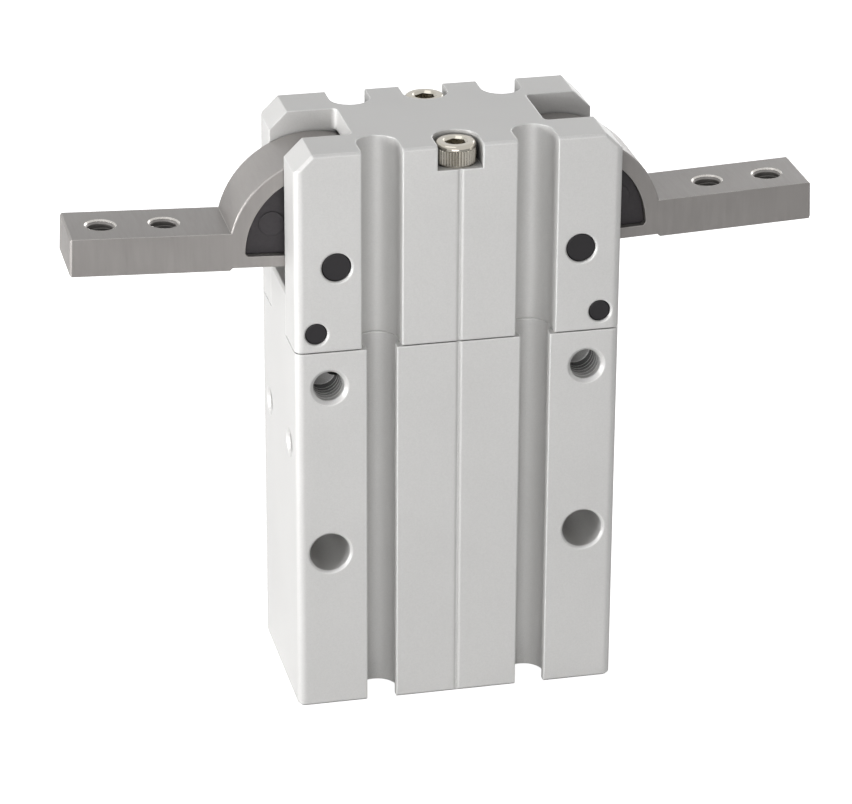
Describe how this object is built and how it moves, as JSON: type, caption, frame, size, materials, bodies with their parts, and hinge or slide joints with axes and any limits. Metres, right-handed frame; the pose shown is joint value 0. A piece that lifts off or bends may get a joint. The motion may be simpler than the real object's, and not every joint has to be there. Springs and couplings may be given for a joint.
{
  "type": "pneumatic gripper",
  "caption": "Pneumatic gripper whose steel fingers swing from flat open to upright, driven by a piston in an aluminium body.",
  "frame": {"origin": "bottom centre of the body", "axes": "+X towards the right finger, +Y away from the port face, +Z from the body towards the fingers"},
  "size_m": [0.1008, 0.024, 0.08],
  "materials": {
    "anodised_aluminium": "satin clear anodised",
    "plain_aluminium": "turned",
    "tool_steel": "satin hardened",
    "black_steel": "black oxide",
    "plated_screw": "bright nickel plated",
    "rod_chrome": "ground and polished",
    "bronze": "sintered",
    "black_resin": "moulded",
    "pale_resin": "moulded",
    "magnet": "bonded magnet",
    "seal_rubber": "matte"
  },
  "bodies": {
    "housing": {"body": "anodised_aluminium", "finger_housing": "anodised_aluminium", "housing_screws": "plated_screw", "left_pivot_pin": "black_steel", "right_pivot_pin": "black_steel", "lock_pins": "black_steel", "end_cap": "plain_aluminium", "cap_o_ring": "seal_rubber", "retaining_clip": "black_steel", "lower_bumper": "seal_rubber", "upper_bumper": "seal_rubber", "rod_seal": "seal_rubber", "rod_bush": "bronze", "passage_plugs": "rod_chrome"},
    "piston_assembly": {"piston": "plain_aluminium", "piston_wear_ring": "pale_resin", "piston_magnet": "magnet", "piston_seal": "seal_rubber", "piston_nut": "plated_screw", "piston_rod": "rod_chrome", "crosshead": "tool_steel", "crosshead_screw": "plated_screw", "left_drive_pin": "black_steel", "right_drive_pin": "black_steel"},
    "left_roller": {"left_drive_roller": "rod_chrome"},
    "right_roller": {"right_drive_roller": "rod_chrome"},
    "left_finger_assembly": {"left_finger": "tool_steel", "left_finger_bush": "bronze", "left_front_insert": "black_resin", "left_rear_insert": "black_resin"},
    "right_finger_assembly": {"right_finger": "tool_steel", "right_finger_bush": "bronze", "right_front_insert": "black_resin", "right_rear_insert": "black_resin"}
  },
  "joints": [
    {"name": "left_finger_swing", "type": "hinge", "parent": "housing", "child": "left_finger_assembly", "pos_m": [-0.01645, 0, 0.0642], "axis": [0, 1, 0], "range_deg": [0, 89.1]},
    {"name": "right_finger_swing", "type": "hinge", "parent": "housing", "child": "right_finger_assembly", "pos_m": [0.01645, 0, 0.0642], "axis": [0, -1, 0], "range_deg": [0, 89.1]},
    {"name": "piston_slide", "type": "slide", "parent": "housing", "child": "piston_assembly", "axis": [0, 0, -1], "range_m": [0, 0.006]},
    {"name": "left_roller_spin", "type": "hinge", "parent": "piston_assembly", "child": "left_roller", "pos_m": [-0.00895, 0, 0.0672], "axis": [0, 1, 0], "continuous": true},
    {"name": "right_roller_spin", "type": "hinge", "parent": "piston_assembly", "child": "right_roller", "pos_m": [0.00895, 0, 0.0672], "axis": [0, -1, 0], "continuous": true}
  ],
  "couplings": [
    {"joint": "right_finger_swing", "follows": "left_finger_swing", "ratio": 1},
    {"joint": "piston_slide", "follows": "left_finger_swing", "m_per_rad": 0.0038583}
  ]
}
